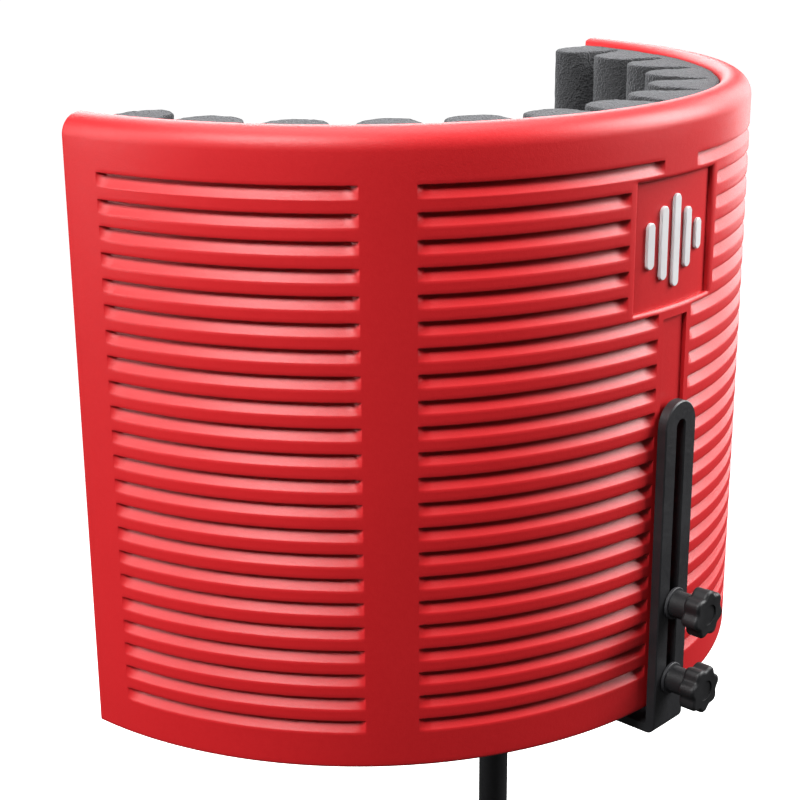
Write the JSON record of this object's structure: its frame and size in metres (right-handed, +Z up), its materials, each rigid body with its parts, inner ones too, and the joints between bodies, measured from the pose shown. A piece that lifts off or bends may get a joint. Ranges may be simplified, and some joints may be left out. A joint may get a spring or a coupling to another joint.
{
  "type": "microphone isolation shield",
  "caption": "Half-round acoustic shield for a microphone: louvred red plastic shell, layered absorber and lobed foam inside, on a slotted bracket with clamping knobs and a short stand tube.",
  "frame": {"origin": "centre of the lower face of the stand tube's coupling, where it screws onto a stand", "axes": "+Z up along the stand tube; +Y towards the closed back (spine) of the shield; -Y is the open side; +X to the right when looking along +Y"},
  "size_m": [0.4046, 0.2237, 0.4415],
  "materials": {
    "outer_shell": "red moulded ABS with a fine satin texture",
    "badge_plate": "red moulded ABS, satin",
    "emblem_bars": "satin silver",
    "outer_wool_layer": "pressed absorbent wool",
    "gap_spacers": "black strips",
    "foil_sheet": "aluminium foil board",
    "inner_wool_layer": "pressed absorbent wool",
    "foam_liner": "charcoal open-cell acoustic foam",
    "backing_block": "black moulded block",
    "threaded_inserts": "turned brass",
    "block_screws": "zinc plated steel",
    "spacer_washers": "black nylon",
    "bracket": "black powder coat on steel",
    "lower_knob": "black moulded, fine grain",
    "upper_knob": "black moulded, fine grain",
    "lower_knob_stud": "zinc plated steel",
    "upper_knob_stud": "zinc plated steel",
    "lower_knob_washer": "black nylon",
    "upper_knob_washer": "black nylon",
    "tube_coupling": "black coated steel",
    "stand_tube": "black powder coat on steel",
    "tube_thread": "zinc plated steel",
    "stand_adapter": "black anodised metal",
    "adapter_post": "zinc plated steel",
    "mic_stud": "zinc plated steel",
    "slot_key": "black nylon",
    "clamp_washer": "zinc plated steel",
    "clamp_wheel": "black moulded",
    "clamp_wheel_nut": "turned brass"
  },
  "bodies": {
    "stand": {"stand_tube": "stand_tube", "tube_coupling": "tube_coupling", "tube_thread": "tube_thread", "stand_adapter": "stand_adapter", "adapter_post": "adapter_post", "mic_stud": "mic_stud"},
    "swivel_key": {"slot_key": "slot_key"},
    "bracket": {"bracket": "bracket"},
    "shield": {"outer_shell": "outer_shell", "badge_plate": "badge_plate", "emblem_bars": "emblem_bars", "outer_wool_layer": "outer_wool_layer", "gap_spacers": "gap_spacers", "foil_sheet": "foil_sheet", "inner_wool_layer": "inner_wool_layer", "foam_liner": "foam_liner", "backing_block": "backing_block", "threaded_inserts": "threaded_inserts", "block_screws": "block_screws", "spacer_washers": "spacer_washers"},
    "clamp_washer": {"clamp_washer": "clamp_washer"},
    "clamp_wheel": {"clamp_wheel": "clamp_wheel", "clamp_wheel_nut": "clamp_wheel_nut"},
    "lower_washer": {"lower_knob_washer": "lower_knob_washer"},
    "lower_knob": {"lower_knob": "lower_knob", "lower_knob_stud": "lower_knob_stud"},
    "upper_washer": {"upper_knob_washer": "upper_knob_washer"},
    "upper_knob": {"upper_knob": "upper_knob", "upper_knob_stud": "upper_knob_stud"}
  },
  "joints": [
    {"name": "bracket_swivel", "type": "hinge", "parent": "stand", "child": "swivel_key", "pos_m": [0, 0, 0.126], "axis": [0, 0, 1], "continuous": true},
    {"name": "bracket_slide", "type": "slide", "parent": "swivel_key", "child": "bracket", "axis": [0, 1, 0], "range_m": [-0.03, 0.045]},
    {"name": "shield_height", "type": "slide", "parent": "bracket", "child": "shield", "axis": [0, 0, 1], "range_m": [-0.003, 0.09]},
    {"name": "clamp_wheel_lift", "type": "slide", "parent": "stand", "child": "clamp_washer", "axis": [0, 0, 1], "range_m": [0, 0.00198]},
    {"name": "clamp_wheel_turn", "type": "hinge", "parent": "clamp_washer", "child": "clamp_wheel", "pos_m": [0, 0, 0.139], "axis": [0, 0, 1], "range_deg": [0, 576]},
    {"name": "lower_knob_out", "type": "slide", "parent": "shield", "child": "lower_washer", "axis": [0, 1, 0], "range_m": [0, 0.00198]},
    {"name": "lower_knob_turn", "type": "hinge", "parent": "lower_washer", "child": "lower_knob", "pos_m": [0, 0.1153, 0.155], "axis": [0, 1, 0], "range_deg": [0, 720]},
    {"name": "upper_knob_out", "type": "slide", "parent": "shield", "child": "upper_washer", "axis": [0, 1, 0], "range_m": [0, 0.00198]},
    {"name": "upper_knob_turn", "type": "hinge", "parent": "upper_washer", "child": "upper_knob", "pos_m": [0, 0.1153, 0.196], "axis": [0, 1, 0], "range_deg": [0, 720]}
  ],
  "couplings": [
    {"joint": "clamp_wheel_turn", "follows": "clamp_wheel_lift", "rad_per_m": 5026.5},
    {"joint": "lower_knob_turn", "follows": "lower_knob_out", "rad_per_m": 6283.2},
    {"joint": "upper_knob_turn", "follows": "upper_knob_out", "rad_per_m": 6283.2}
  ]
}
